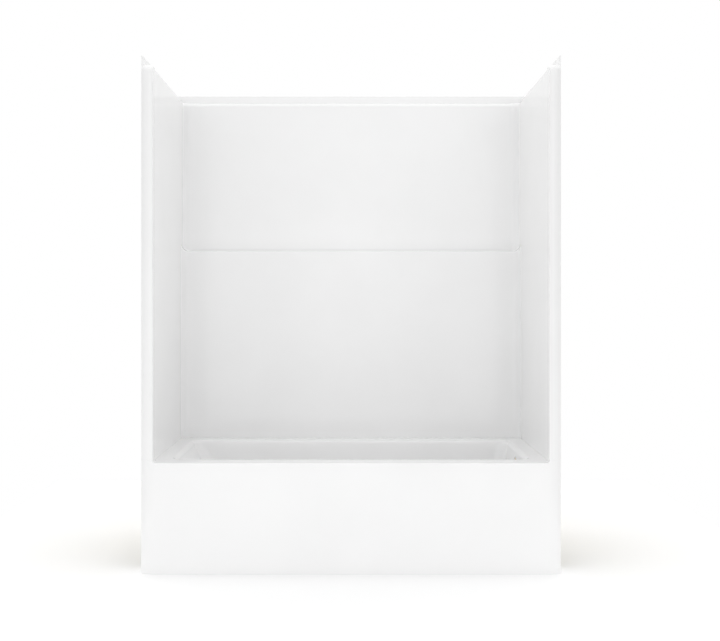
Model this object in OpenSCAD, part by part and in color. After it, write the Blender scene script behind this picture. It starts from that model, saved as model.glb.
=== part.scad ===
// Alcove bath and shower insert in four moulded sections that bolt together.
// The open front faces -Y. The origin is on the floor, in the middle of the footprint.
// Depths are measured from the apron's face and turned into Y by in_frame().

/* [Overall] */
// Width over the nailing flanges
unit_w = 1524; // [1420:1:1676]
// Depth from the apron's face to the back nailing flange
unit_d = 813; // [720:1:914]
// Height from the floor to the top of the nailing flanges
unit_h = 1880; // [1750:1:2100]
// Thickness of the moulded sheet
sheet_t = 5; // [4:0.5:6]

/* [Walls] */
// Hollow between an end wall's face and the outside of its nailing flange
wall_hollow = 38; // [34:1:50]
// Hollow between the lower back panel's face and the outside of the back nailing flange
back_hollow = 96; // [92:1:150]
// How far the upper back panel stands behind the lower one
shelf_d = 58; // [30:1:75]
// Height of the shelf between the two back panels
shelf_z = 1200; // [1000:1:1400]
// Height of the nailing flange above the top ledge
flange_h = 33; // [20:1:60]
// Radius of the coves between the back panels and the end walls
cove_r = 22; // [10:1:35]
// Radius of the recess's lower corners, seen from the front
pocket_r = 28; // [15:1:60]

/* [Front columns] */
// Width of a column
column_w = 43; // [38:1:48]
// Radius of a column's bowed face, seen from above
column_r = 80; // [60:1:150]
// Depth of the flat on a column's room side
bead_d = 40; // [25:1:60]
// Length over which a column's room side runs out into the wall
bead_run = 20; // [10:1:40]
// Depth of the column's outer return
return_d = 100; // [60:1:160]
// Radius over the top of a column, seen from the side
crown_r = 50; // [30:1:60]
// Radius of the fillet between a column and the apron's top edge
throat_r = 9; // [4:1:9]

/* [Tub] */
// Height of the tub deck
deck_z = 402; // [360:1:460]
// Height of the deck's upstand behind the wall sections
upstand_h = 30; // [20:1:40]
// Width of the deck from an end wall's face to the well
side_ledge = 71; // [60:1:90]
// Width of the deck from the apron's face to the well
front_ledge = 109; // [90:1:120]
// Width of the deck from the lower back panel to the well
back_ledge = 68; // [50:1:90]
// Radius of the well's rim
rim_r = 20; // [12:1:24]
// Radius of the well's corners, seen from above
well_r = 45; // [40:1:70]
// Radius between the well's sides and its floor
sole_r = 55; // [45:1:70]
// Radius of the flat floor's corners, seen from above
sole_corner_r = 20; // [10:1:40]
// How far the backrest leans out over its height
backrest_run = 137; // [60:1:180]
// How far the drain end leans out over its height
drain_end_run = 46; // [20:1:70]
// How far the long sides lean out over their height
side_run = 25; // [10:1:50]
// Width of the apron's turned-in foot
foot_w = 30; // [20:1:35]

/* [Waste holes] */
// Diameter of the drain hole
drain_hole_d = 51; // [45:0.5:58]
// Distance from the right nailing flange to the drain's centre
drain_from_end = 242; // [235:1:300]
// Diameter of the overflow hole
overflow_hole_d = 56; // [50:0.5:60]
// Height of the overflow's centre
overflow_z = 343; // [300:1:348]

/* [Seams and fasteners] */
// Thickness of the foam seals
seal_t = 3; // [2:0.5:5]
// Hairline gap between the sections where they meet in sight
seam_gap = 0.3; // [0.2:0.1:0.6]
// Distance from the back cove to the upright seam
seam_inset = 8; // [4:1:20]
// Gap between a seal's edge and what stands beside it
seal_clear = 1; // [0.5:0.5:3]
// Diameter of the joint bolts
bolt_d = 6; // [5:0.5:8]
// Clearance around a bolt in its hole
bolt_clear = 0.3; // [0.2:0.1:1]
// How far a bolt stands out of its nut
bolt_tail = 2; // [1:0.5:6]
// Distance across the flats of a bolt head or nut
hex_af = 10; // [8:0.5:11]
// Height of a bolt head
head_t = 4; // [3:0.5:6]
// Height of a nut
nut_t = 5; // [4:0.5:7]
// Diameter of a washer
washer_d = 18; // [14:0.5:18]
// Thickness of a washer
washer_t = 1.6; // [1:0.1:2.5]
// Bolts in each upright seam
corner_bolt_count = 6; // [3:1:9]
// Bolts under each end wall
side_bolt_count = 4; // [2:1:6]
// Bolts under the back wall
back_bolt_count = 6; // [3:1:8]
// Distance from the ends of a seam to its first and last bolt
bolt_end = 60; // [40:1:110]

/* [Timber] */
// Thickness of the boards
board_t = 12; // [9:1:15]
// Side of the square timber rails and posts
rail_w = 38; // [30:1:42]
// Width of the flat runners under the floor board
runner_w = 89; // [60:1:100]
// Height of the runners
runner_h = 38; // [30:1:50]
// Clear edge left around the floor board on the flat of the floor
board_edge = 6; // [2:1:20]
// Diameter of the hole in the floor board around the drain
drain_cutout_d = 96; // [80:1:110]
// Side of the square ribs behind the wall panels
rib_w = 25; // [15:1:28]
// Distance from the deck and the top ledge to the ribs' ends
rib_end = 60; // [45:1:120]
// Distance from the rear seam and the column to the end walls' ribs
rib_inset = 70; // [50:1:120]
// Distance from an end wall to the back wall's ribs
back_rib_inset = 104; // [80:1:160]
// Width of the backing board behind the left end wall
grab_board_w = 340; // [200:1:440]
// Height of the backing board behind the left end wall
grab_board_h = 380; // [150:1:450]
// Height of the middle of the grab rail boards
grab_board_z = 900; // [800:1:950]
// Width of the board that carries the bath and shower valve
valve_board_w = 220; // [150:1:300]
// Height of the board that carries the bath and shower valve
valve_board_h = 900; // [500:1:1000]
// Height of the middle of the valve board
valve_board_z = 1100; // [1000:1:1150]
// Width of the two backing boards behind the back wall
back_board_w = 1000; // [500:1:1100]
// Height of the two backing boards behind the back wall
back_board_h = 360; // [150:1:400]
// Distance from the top ledge down to the middle of the upper backing board
upper_board_drop = 327; // [250:1:400]

/* [Hidden] */
$fn = 64;

half_w = unit_w / 2;
room_w = unit_w - 2 * wall_hollow;
room_x = room_w / 2;
lower_d = unit_d - back_hollow;
upper_d = lower_d + shelf_d;
ledge_z = unit_h - flange_h;
column_x = half_w - column_w;
column_back = bow(0, half_w);
seam_d = lower_d - cove_r - seam_inset;
side_end = seam_d - seal_t / 2;
back_start = seam_d + seal_t / 2;
pan_z = deck_z + seal_t;
stub_z = deck_z + throat_r + 1;
upstand_in = half_w - sheet_t;
upstand_back = unit_d - sheet_t;
pass = 1;
far = 2 * unit_h;

floor_z = runner_h + board_t + sheet_t;
wall_z = deck_z - rim_r;
well_x = room_x - side_ledge;
well_front = front_ledge;
well_back = lower_d - back_ledge;
well_mid = (well_front + well_back) / 2;
sole_z = floor_z + sole_r;
sole_left = -well_x + backrest_run + sole_r;
sole_right = well_x - drain_end_run - sole_r;
sole_front = well_front + side_run + sole_r;
sole_back = well_back - side_run - sole_r;
drain_x = half_w - drain_from_end;

end_lean = lean(drain_end_run, 0);
overflow_x = well_x - (wall_z - overflow_z) * tan(end_lean);

bolt_x = (room_x + sheet_t + upstand_in) / 2;
back_bolt_d = upstand_back - washer_d / 2 - 6;
grip_t = 2 * sheet_t + seal_t;
bolt_len = grip_t + 2 * washer_t + nut_t + bolt_tail;
hole_r = bolt_d / 2 + bolt_clear;
rail_top = deck_z - sheet_t;
back_rail_d = back_bolt_d - washer_d / 2 - 6 - rail_w;
side_rail_x = bolt_x - washer_d / 2 - 6 - rail_w;
rib_x = room_x + sheet_t;
rib_z = pan_z + rib_end;
rib_h = ledge_z - rib_end - rib_z;

white = [0.95, 0.95, 0.95];
foam = [0.22, 0.22, 0.23];
steel = [0.72, 0.73, 0.75];
pine = [0.80, 0.66, 0.45];
plywood = [0.74, 0.58, 0.38];

// Points on a bowed or rounded stretch.
steps = 8;

// Depth of a column's face at x, or of the back of its sheet when g is the thickness.
function bow(g, x) = column_r - sqrt(pow(column_r - g, 2) - pow(x - column_x, 2));

function bow_points(g, first, last) = [
    for (i = [0 : steps]) let (x = first + (last - first) * i / steps) [x, bow(g, x)]
];

function mirrored(points) = [for (i = [len(points) - 1 : -1 : 0]) [-points[i][0], points[i][1]]];

function spaced(first, last, count) = [for (i = [0 : count - 1]) first + (last - first) * i / (count - 1)];

corner_bolt_z = spaced(pan_z + sheet_t + bolt_end, ledge_z - sheet_t - bolt_end, corner_bolt_count);
side_bolt_d = spaced(return_d + bolt_end, side_end - sheet_t - bolt_end, side_bolt_count);
back_bolt_x = spaced(-room_x + bolt_end, room_x - bolt_end, back_bolt_count);

module in_frame() {
    translate([0, -unit_d / 2, 0]) children();
}

module box(low, high) {
    translate(low) cube(high - low);
}

// The right end wall is drawn, and the left one is its mirror image.
module on_left() {
    mirror([1, 0, 0]) children();
}

// A plan shape from the front plane back to depth d, with two round corners at the back.
module bay_plan(half, d, r) {
    corner = [
        for (i = [0 : steps]) let (a = 90 * i / steps) [half - r + r * cos(a), d - r + r * sin(a)]
    ];
    right = concat([[half, -pass]], corner);
    polygon(concat(right, mirrored(right)));
}

// The space inside the walls, grown by g on every side.
module room(g) {
    linear_extrude(shelf_z + pocket_r + g) bay_plan(room_x + g, lower_d + g, cove_r + g);
    intersection() {
        translate([0, 0, shelf_z - g]) linear_extrude(far) bay_plan(room_x + g, upper_d + g, cove_r + g);
        pocket(room_x + g, pocket_r + g, shelf_z - g);
    }
}

// The recess over the shelf seen from the front, with its round lower corners, drawn along Y.
module pocket(half, r, low) {
    corner = [
        for (i = [0 : steps]) let (a = 90 * i / steps) [half - r * (1 - sin(a)), low + r * (1 - cos(a))]
    ];
    right = concat(corner, [[half, far]]);
    translate([0, far, 0]) rotate([90, 0, 0]) linear_extrude(far + pass)
        polygon(concat(right, mirrored(right)));
}

// The outline of the whole unit in plan, with the columns' bowed faces, inset by g.
module front_plan(g) {
    right = concat(bow_points(g, column_x, half_w - g), [[half_w - g, unit_d]]);
    polygon(concat(right, mirrored(right)));
}

// The side view of a column's curve over the top, as a solid along X, inset by g.
module crown(g) {
    curve = [
        for (i = [0 : steps]) let (a = 90 * i / steps)
            [crown_r - (crown_r - g) * cos(a), ledge_z - crown_r + (crown_r - g) * sin(a)]
    ];
    rotate([90, 0, 90]) linear_extrude(half_w + pass)
        polygon(concat([[far, 0], [g, 0]], curve, [[far, ledge_z - g]]));
}

// A round-cornered rectangle in plan, as points.
function corner_loop(x0, x1, y0, y1, r) = [
    for (c = [0 : 3]) for (i = [0 : steps])
        let (a = 90 * c + 90 * i / steps, cx = c == 0 || c == 3 ? x1 - r : x0 + r, cy = c < 2 ? y1 - r : y0 + r)
            [cx + r * cos(a), cy + r * sin(a)]
];

// How far a side of the well leans, from the rim to the line that touches the floor's round.
function lean(run, g) =
    let (dx = run + sole_r + g, dz = wall_z - sole_z)
        atan2(dx, dz) - asin((sole_r + g) / norm([dx, dz]));

// How far a side stands out from the edge of the flat floor at height z, on the sheet's face or its back.
function side_out(run, g, z) =
    let (r = sole_r + g, a = lean(run, g), touch_z = sole_z - r * sin(a))
        z > touch_z ? run + r - (wall_z - z) * tan(a) : sqrt(max(0, r * r - pow(sole_z - z, 2)));

// One ring of the well at height z.
function well_ring(g, z) =
    let (up = max(0, (z - sole_z) / (wall_z - sole_z)), low = side_out(0, g, min(z, sole_z)))
        [for (p = corner_loop(
            sole_left - side_out(backrest_run, g, z), sole_right + side_out(drain_end_run, g, z),
            sole_front - side_out(side_run, g, z), sole_back + side_out(side_run, g, z),
            up * (well_r + g) + (1 - up) * (sole_corner_r + low)
        )) [p[0], p[1], z]];

// One ring of the rolled rim: a is 90 at the deck and 0 where the well's side starts.
function rim_ring(g, a) =
    let (n = rim_r - (rim_r - g) * cos(a), z = wall_z + (rim_r - g) * sin(a))
        [for (p = corner_loop(-well_x - n, well_x + n, well_front - n, well_back + n, well_r + n)) [p[0], p[1], z]];

// The rings of one face of the sheet, from the deck down to the floor.
function basin_face(g) = concat(
    [for (i = [0 : steps]) rim_ring(g, 90 - 90 * i / steps)],
    [for (i = [0 : steps]) well_ring(g, sole_z - (sole_r + g) * sin(90 * i / steps))]
);

module basin_sheet() {
    rings = concat(basin_face(0), basin_face(sheet_t));
    n = len(rings[0]);
    m = len(basin_face(0));
    faces = [
        for (k = [0 : 2 * m - 1]) if (k != m - 1 && k != 2 * m - 1) for (j = [0 : n - 1])
            let (a = k * n + j, b = k * n + (j + 1) % n)
                each k < m ? [[a, b + n, b], [a, a + n, b + n]] : [[a, b, b + n], [a, b + n, a + n]]
    ];
    edge = [
        for (j = [0 : n - 1]) let (a = j, b = (j + 1) % n)
            each [[a, b, b + m * n], [a, b + m * n, a + m * n]]
    ];
    caps = [
        [for (j = [n - 1 : -1 : 0]) (m - 1) * n + j],
        [for (j = [0 : n - 1]) (2 * m - 1) * n + j]
    ];
    polyhedron([for (ring = rings) each ring], concat(faces, edge, caps), 4);
}

module deck() {
    difference() {
        translate([0, 0, rail_top]) linear_extrude(sheet_t) front_plan(0);
        translate([0, 0, rail_top - pass]) linear_extrude(sheet_t + 2 * pass)
            polygon([for (p = rim_ring(0, 90)) [p[0], p[1]]]);
    }
}

module upstand() {
    difference() {
        box([-half_w, return_d, rail_top], [half_w, unit_d, deck_z + upstand_h]);
        box([-upstand_in, -pass, 0], [upstand_in, upstand_back, far]);
    }
}

module apron() {
    intersection() {
        linear_extrude(deck_z) difference() {
            front_plan(0);
            front_plan(sheet_t);
        }
        box([-half_w, 0, 0], [half_w, return_d, deck_z]);
    }
    box([-column_x, 0, 0], [column_x, foot_w, sheet_t]);
}

// The short rise at each end of the deck that the wall columns stand on.
module column_stub() {
    translate([0, 0, rail_top]) linear_extrude(stub_z - rail_top) column_plan();
    difference() {
        box([column_x - throat_r, 0, deck_z - sheet_t], [column_x + pass, sheet_t, deck_z + throat_r]);
        translate([column_x - throat_r, -pass, deck_z + throat_r])
            rotate([-90, 0, 0]) cylinder(r = throat_r, h = sheet_t + 2 * pass);
    }
}

module column_plan() {
    intersection() {
        difference() {
            side_plan(0);
            side_plan(sheet_t);
        }
        union() {
            square([half_w, bead_d + bead_run]);
            translate([upstand_in - pass, 0]) square([sheet_t + pass, return_d]);
        }
    }
}

// The tub is one moulding in two nodes, which meet face to face where the rolled rim joins the deck.
module basin() {
    color(white) in_frame() difference() {
        basin_sheet();
        translate([drain_x, well_mid, -pass]) cylinder(d = drain_hole_d, h = floor_z + 2 * pass);
        translate([overflow_x, well_mid, overflow_z]) rotate([0, 90 + end_lean, 0])
            cylinder(d = overflow_hole_d, h = 4 * sheet_t, center = true);
    }
}

module deck_and_apron() {
    color(white) in_frame() difference() {
        union() {
            deck();
            upstand();
            apron();
            column_stub();
            on_left() column_stub();
        }
        deck_bolt_places() cylinder(r = hole_r, h = 4 * sheet_t, center = true);
    }
}

// The room side of an end wall and its column, with the hollow behind it, inset by g.
module side_plan(g) {
    outside = half_w + (g > 0 ? pass : 0);
    polygon(concat(bow_points(g, column_x + g, half_w - g), [
        [half_w - g, return_d],
        [outside, return_d],
        [outside, side_end - g],
        [room_x + g, side_end - g],
        [room_x + g, bead_d + bead_run],
        [column_x + g, bead_d]
    ]));
}

module side_pan() {
    difference() {
        intersection() {
            translate([0, 0, pan_z]) linear_extrude(ledge_z - pan_z) side_plan(0);
            crown(0);
        }
        intersection() {
            translate([0, 0, pan_z + sheet_t]) linear_extrude(ledge_z - pan_z) side_plan(sheet_t);
            crown(sheet_t);
        }
        box([0, -pass, 0], [half_w, bead_d + bead_run, stub_z + seam_gap]);
    }
}

// The edge of the panel that reaches past the flanges to the hairline seams.
module side_toe() {
    box([room_x, bead_d + bead_run, deck_z + seam_gap], [rib_x, side_end, pan_z + sheet_t]);
    box([room_x, side_end - sheet_t, deck_z + seam_gap], [rib_x, seam_d - seam_gap / 2, ledge_z]);
}

module side_wall() {
    difference() {
        union() {
            side_pan();
            side_toe();
            box([upstand_in, column_back, ledge_z - sheet_t], [half_w, seam_d - seam_gap / 2, unit_h]);
            box([upstand_in, column_back, ledge_z - crown_r], [half_w, return_d, unit_h]);
        }
        upstand_room();
        corner_bolt_places(1) cylinder(r = hole_r, h = 4 * sheet_t, center = true);
        side_bolt_places(1) cylinder(r = hole_r, h = 4 * sheet_t, center = true);
    }
}

// The space that the wall sections leave for the tub's upstand.
module upstand_room() {
    difference() {
        box([-far, return_d - seal_clear, deck_z - pass], [far, far, deck_z + upstand_h + seal_clear]);
        box([-upstand_in + seal_clear, -pass, 0], [upstand_in - seal_clear, upstand_back - seal_clear, far]);
    }
}

module right_wall() {
    color(white) in_frame() side_wall();
}

module left_wall() {
    color(white) in_frame() on_left() side_wall();
}

module back_pan() {
    difference() {
        box([-half_w, back_start, pan_z], [half_w, unit_d, ledge_z]);
        room(0);
        difference() {
            box([-far, back_start + sheet_t, pan_z + sheet_t], [far, far, ledge_z - sheet_t]);
            room(sheet_t);
        }
    }
}

module back_toe() {
    difference() {
        union() {
            translate([0, 0, deck_z + seam_gap]) linear_extrude(pan_z + sheet_t - deck_z - seam_gap)
                bay_plan(rib_x, lower_d + sheet_t, cove_r + sheet_t);
            box([-rib_x, -pass, deck_z + seam_gap], [rib_x, back_start + sheet_t, ledge_z]);
        }
        box([-far, -2 * pass, 0], [far, seam_d + seam_gap / 2, far]);
        room(0);
    }
}

module top_flange() {
    difference() {
        box([-half_w, seam_d + seam_gap / 2, ledge_z - sheet_t], [half_w, unit_d, unit_h]);
        box([-upstand_in, -pass, 0], [upstand_in, upstand_back, far]);
    }
}

module back_wall() {
    color(white) in_frame() difference() {
        union() {
            back_pan();
            back_toe();
            top_flange();
        }
        upstand_room();
        for (side = [-1, 1]) {
            corner_bolt_places(side) cylinder(r = hole_r, h = 4 * sheet_t, center = true);
        }
        back_bolt_places() cylinder(r = hole_r, h = 4 * sheet_t, center = true);
    }
}

// Each place has its Z axis along the bolt, towards the head, and its origin mid seal.
module corner_bolt_places(side) {
    for (z = corner_bolt_z) {
        translate([side * bolt_x, seam_d, z]) rotate([-90, 0, 0]) children();
    }
}

module side_bolt_places(side) {
    for (d = side_bolt_d) {
        translate([side * bolt_x, d, deck_z + seal_t / 2]) children();
    }
}

module back_bolt_places() {
    for (x = back_bolt_x) {
        translate([x, back_bolt_d, deck_z + seal_t / 2]) children();
    }
}

module deck_bolt_places() {
    side_bolt_places(-1) children();
    side_bolt_places(1) children();
    back_bolt_places() children();
}

module both_corners() {
    corner_bolt_places(-1) children();
    corner_bolt_places(1) children();
}

// A bolt with its head above the grip, measured from the middle of the seal.
module bolt() {
    translate([0, 0, grip_t / 2 + washer_t]) cylinder(d = hex_af / cos(30), h = head_t, $fn = 6);
    translate([0, 0, grip_t / 2 + washer_t - bolt_len]) cylinder(d = bolt_d, h = bolt_len + pass);
}

module washer_pair() {
    for (z = [grip_t / 2, -grip_t / 2 - washer_t]) {
        translate([0, 0, z]) difference() {
            cylinder(d = washer_d, h = washer_t);
            translate([0, 0, -pass]) cylinder(r = hole_r, h = washer_t + 2 * pass);
        }
    }
}

module nut() {
    translate([0, 0, -grip_t / 2 - washer_t - nut_t]) difference() {
        cylinder(d = hex_af / cos(30), h = nut_t, $fn = 6);
        translate([0, 0, -pass]) cylinder(r = hole_r, h = nut_t + 2 * pass);
    }
}

module corner_bolts() {
    color(steel) in_frame() both_corners() bolt();
}

module corner_washers() {
    color(steel) in_frame() both_corners() washer_pair();
}

module corner_nuts() {
    color(steel) in_frame() both_corners() nut();
}

module deck_bolts() {
    color(steel) in_frame() deck_bolt_places() bolt();
}

module deck_washers() {
    color(steel) in_frame() deck_bolt_places() washer_pair();
}

module deck_nuts() {
    color(steel) in_frame() deck_bolt_places() nut();
}

module side_deck_seal() {
    difference() {
        box([rib_x + seal_clear, bead_d + bead_run, deck_z],
            [upstand_in - 2 * seal_clear, side_end - seal_clear, pan_z]);
        side_bolt_places(1) cylinder(r = hole_r, h = 4 * sheet_t, center = true);
    }
}

module corner_seal() {
    difference() {
        box([rib_x + seal_clear, side_end, pan_z + sheet_t],
            [upstand_in - 2 * seal_clear, back_start, ledge_z - sheet_t]);
        corner_bolt_places(1) cylinder(r = hole_r, h = 4 * sheet_t, center = true);
    }
}

module right_deck_seal() {
    color(foam) in_frame() side_deck_seal();
}

module left_deck_seal() {
    color(foam) in_frame() on_left() side_deck_seal();
}

module right_corner_seal() {
    color(foam) in_frame() corner_seal();
}

module left_corner_seal() {
    color(foam) in_frame() on_left() corner_seal();
}

module back_deck_seal() {
    edge = 2 * seal_clear;
    color(foam) in_frame() difference() {
        box([-upstand_in + edge, back_start + seal_clear, deck_z],
            [upstand_in - edge, upstand_back - edge, pan_z]);
        room(sheet_t + seal_clear);
        back_bolt_places() cylinder(r = hole_r, h = 4 * sheet_t, center = true);
    }
}

module floor_board() {
    color(plywood) in_frame() difference() {
        box([sole_left + board_edge, sole_front + board_edge, runner_h],
            [sole_right - board_edge, sole_back - board_edge, runner_h + board_t]);
        translate([drain_x, well_mid, 0]) cylinder(d = drain_cutout_d, h = far);
    }
}

// Three runners: one near each end of the floor board, clear of the drain, and one between them.
module runner(place) {
    first = sole_left + board_edge;
    last = drain_x - drain_cutout_d / 2 - runner_w - board_edge;
    x = first + (last - first) * place;
    color(pine) in_frame()
        box([x, sole_front + board_edge, 0], [x + runner_w, sole_back - board_edge, runner_h]);
}

module left_runner() {
    runner(0);
}

module middle_runner() {
    runner(0.5);
}

module right_runner() {
    runner(1);
}

module front_deck_rail() {
    color(pine) in_frame()
        box([-column_x, sheet_t, rail_top - rail_w], [column_x, sheet_t + rail_w, rail_top]);
}

module back_deck_rail() {
    color(pine) in_frame()
        box([-column_x, back_rail_d, rail_top - rail_w], [column_x, back_rail_d + rail_w, rail_top]);
}

module side_deck_rail() {
    box([side_rail_x, sheet_t + rail_w, rail_top - rail_w], [side_rail_x + rail_w, back_rail_d, rail_top]);
}

module right_deck_rail() {
    color(pine) in_frame() side_deck_rail();
}

module left_deck_rail() {
    color(pine) in_frame() on_left() side_deck_rail();
}

module post(x, d, z) {
    color(pine) in_frame() box([x, d, z], [x + rail_w, d + rail_w, rail_top - rail_w]);
}

module left_apron_post() {
    post(-column_x, sheet_t, sheet_t);
}

module middle_apron_post() {
    post(-rail_w / 2, sheet_t, sheet_t);
}

module right_apron_post() {
    post(column_x - rail_w, sheet_t, sheet_t);
}

module left_back_post() {
    post(-column_x, back_rail_d, 0);
}

module right_back_post() {
    post(column_x - rail_w, back_rail_d, 0);
}

// A board bonded behind an end wall, centred between its ribs.
module side_board(w, h, z) {
    d = (return_d + rib_inset + seam_d - rib_inset) / 2;
    box([rib_x, d - w / 2, z - h / 2], [rib_x + board_t, d + w / 2, z + h / 2]);
}

module left_grab_board() {
    color(plywood) in_frame() on_left() side_board(grab_board_w, grab_board_h, grab_board_z);
}

module right_valve_board() {
    color(plywood) in_frame() side_board(valve_board_w, valve_board_h, valve_board_z);
}

module back_board(d, z) {
    color(plywood) in_frame()
        box([-back_board_w / 2, d + sheet_t, z - back_board_h / 2],
            [back_board_w / 2, d + sheet_t + board_t, z + back_board_h / 2]);
}

module lower_back_board() {
    back_board(lower_d, grab_board_z);
}

module upper_back_board() {
    back_board(upper_d, ledge_z - upper_board_drop);
}

// The rail under the shelf, against the back of the lower panel.
module shelf_rail() {
    end = room_x - back_rib_inset - 2 * rib_w;
    color(pine) in_frame()
        box([-end, lower_d + sheet_t, shelf_z - sheet_t - rail_w], [end, lower_d + sheet_t + rail_w, shelf_z - sheet_t]);
}

module back_rib() {
    x = room_x - back_rib_inset - rib_w / 2;
    box([x, lower_d + sheet_t, rib_z], [x + rib_w, lower_d + sheet_t + rib_w, shelf_z - sheet_t]);
}

module right_back_rib() {
    color(pine) in_frame() back_rib();
}

module left_back_rib() {
    color(pine) in_frame() on_left() back_rib();
}

module side_rib(d) {
    box([rib_x, d, rib_z], [rib_x + rib_w, d + rib_w, rib_z + rib_h]);
}

module left_front_rib() {
    color(pine) in_frame() on_left() side_rib(return_d + rib_inset - rib_w);
}

module left_rear_rib() {
    color(pine) in_frame() on_left() side_rib(seam_d - rib_inset);
}

module right_front_rib() {
    color(pine) in_frame() side_rib(return_d + rib_inset - rib_w);
}

module right_rear_rib() {
    color(pine) in_frame() side_rib(seam_d - rib_inset);
}

basin();
deck_and_apron();
back_wall();
left_wall();
right_wall();
back_deck_seal();
left_deck_seal();
right_deck_seal();
left_corner_seal();
right_corner_seal();
corner_bolts();
corner_washers();
corner_nuts();
deck_bolts();
deck_washers();
deck_nuts();
floor_board();
left_runner();
middle_runner();
right_runner();
front_deck_rail();
back_deck_rail();
left_deck_rail();
right_deck_rail();
left_apron_post();
middle_apron_post();
right_apron_post();
left_back_post();
right_back_post();
left_grab_board();
right_valve_board();
lower_back_board();
upper_back_board();
shelf_rail();
left_back_rib();
right_back_rib();
left_front_rib();
left_rear_rib();
right_front_rib();
right_rear_rib();
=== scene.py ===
import math

import bmesh
import bpy
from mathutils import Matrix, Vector
from mathutils.geometry import delaunay_2d_cdt


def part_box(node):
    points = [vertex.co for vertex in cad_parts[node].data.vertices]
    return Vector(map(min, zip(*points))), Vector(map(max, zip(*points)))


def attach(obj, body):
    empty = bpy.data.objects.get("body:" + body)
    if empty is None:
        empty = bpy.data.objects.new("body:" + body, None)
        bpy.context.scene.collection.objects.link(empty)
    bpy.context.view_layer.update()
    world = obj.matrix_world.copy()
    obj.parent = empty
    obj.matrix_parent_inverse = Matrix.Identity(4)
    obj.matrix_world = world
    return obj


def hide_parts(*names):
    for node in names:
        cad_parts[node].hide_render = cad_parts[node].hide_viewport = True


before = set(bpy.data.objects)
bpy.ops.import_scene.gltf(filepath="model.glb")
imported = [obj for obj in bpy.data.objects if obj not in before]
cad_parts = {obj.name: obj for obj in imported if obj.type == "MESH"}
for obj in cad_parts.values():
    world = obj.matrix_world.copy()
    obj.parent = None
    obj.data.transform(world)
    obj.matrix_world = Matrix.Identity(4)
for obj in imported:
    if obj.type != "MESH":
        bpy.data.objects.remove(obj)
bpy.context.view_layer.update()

# Sizes are in millimetres. d is the depth behind the apron's face, and place() turns it into Y.
unit = {
    "halfW": 762, "depth": 813, "height": 1880, "sheet": 5,
    "roomX": 724, "lowerD": 717, "upperD": 775, "shelfZ": 1200, "ledgeZ": 1847, "deckZ": 402,
    "columnX": 717.5, "bowX": 692, "bowDeep": 18, "crownR": 50, "beadD": 40, "beadRun": 20, "returnD": 100,
    "seamD": 687, "panZ": 405, "stubZ": 412, "clearance": 1,
}
unit["upstandX"], unit["upstandD"] = unit["halfW"] - unit["sheet"], unit["depth"] - unit["sheet"]
unit["panX"], unit["panD"] = unit["upstandX"] - unit["clearance"], unit["upstandD"] - unit["clearance"]


def place(x, d, z):
    return Vector((x / 1000, (d - unit["depth"] / 2) / 1000, z / 1000))


def span(first, last, count):
    return [first + (last - first) * i / count for i in range(count + 1)]


def mix(a, b, share):
    return a + (b - a) * share


def quarter(count):
    # the angles of a quarter turn
    return span(0, math.pi / 2, count)


def newPiece(name, data):
    piece = bpy.data.objects.new(name, data)
    bpy.context.scene.collection.objects.link(piece)
    return piece


def easeInOut(share):
    share = min(1, max(0, share))
    return share * share * (3 - 2 * share)


# Camera: straight in front, a little off the middle
camera = {"lens": 53.66, "sensor": 36, "back": 4.284, "height": 0.992, "shiftX": 0.0124, "shiftY": -0.0285,
          "clipEnd": 200}

eye = newPiece("camera", bpy.data.cameras.new("camera"))
eye.location = (0, -camera["back"], camera["height"])
eye.rotation_euler = (math.pi / 2, 0, 0)
eye.data.lens = camera["lens"]
eye.data.sensor_width = camera["sensor"]
eye.data.shift_x = camera["shiftX"]
eye.data.shift_y = camera["shiftY"]
eye.data.clip_end = camera["clipEnd"]
bpy.context.scene.camera = eye


# Materials: a node tree is built with node(), colours are sRGB hex values
def linearColour(code):
    def channel(c):
        c = c / 255
        return c / 12.92 if c <= 0.04045 else ((c + 0.055) / 1.055) ** 2.4
    return tuple(channel(int(code[i:i + 2], 16)) for i in (1, 3, 5)) + (1.0,)


maths, noise, ramp, bump = "ShaderNodeMath", "ShaderNodeTexNoise", "ShaderNodeValToRGB", "ShaderNodeBump"


def link(tree, source, socket):
    # the source is an output, or a node for its first output
    tree.links.new(source.outputs[0] if isinstance(source, bpy.types.Node) else source, socket)


def node(tree, kind, settings):
    # a setting is a property, a socket's value, or one or more sources that are linked to the socket
    made = tree.nodes.new(kind)
    for name, value in settings.items():
        sources = value if isinstance(value, list) else [value]
        if isinstance(sources[0], (bpy.types.Node, bpy.types.NodeSocket)):
            for source in sources:
                link(tree, source, made.inputs[name])
        elif isinstance(name, str) and hasattr(made, name):
            setattr(made, name, value)
        else:
            made.inputs[name].default_value = value
    return made


def sized(mm):
    # a pattern's scale, from the real size in millimetres of one of its features, whose last digits only
    # settle where the features fall
    return 1000 / mm


def newMaterial(name, base, roughness, **rest):
    material = bpy.data.materials.new(name)
    material.use_nodes = True
    inputs = material.node_tree.nodes["Principled BSDF"].inputs
    inputs["Base Color"].default_value = linearColour(base)
    inputs["Roughness"].default_value = roughness
    for socket, value in rest.items():
        inputs[socket].default_value = value
    where = node(material.node_tree, "ShaderNodeTexCoord", {}).outputs["Object"]
    return material, material.node_tree, where


def dress(material, sources):
    # links colours and reliefs to the sockets of the material's shader
    tree = material.node_tree
    for socket, source in sources.items():
        link(tree, source, tree.nodes["Principled BSDF"].inputs[socket])
    return material


def tinted(made, stops):
    # sets the colours along a colour ramp
    elements = made.color_ramp.elements
    while len(elements) < len(stops):
        elements.new(0.5)
    for element, (at, code) in zip(elements, stops):
        element.position = at
        element.color = linearColour(code)
    return made.outputs["Color"]


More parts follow.
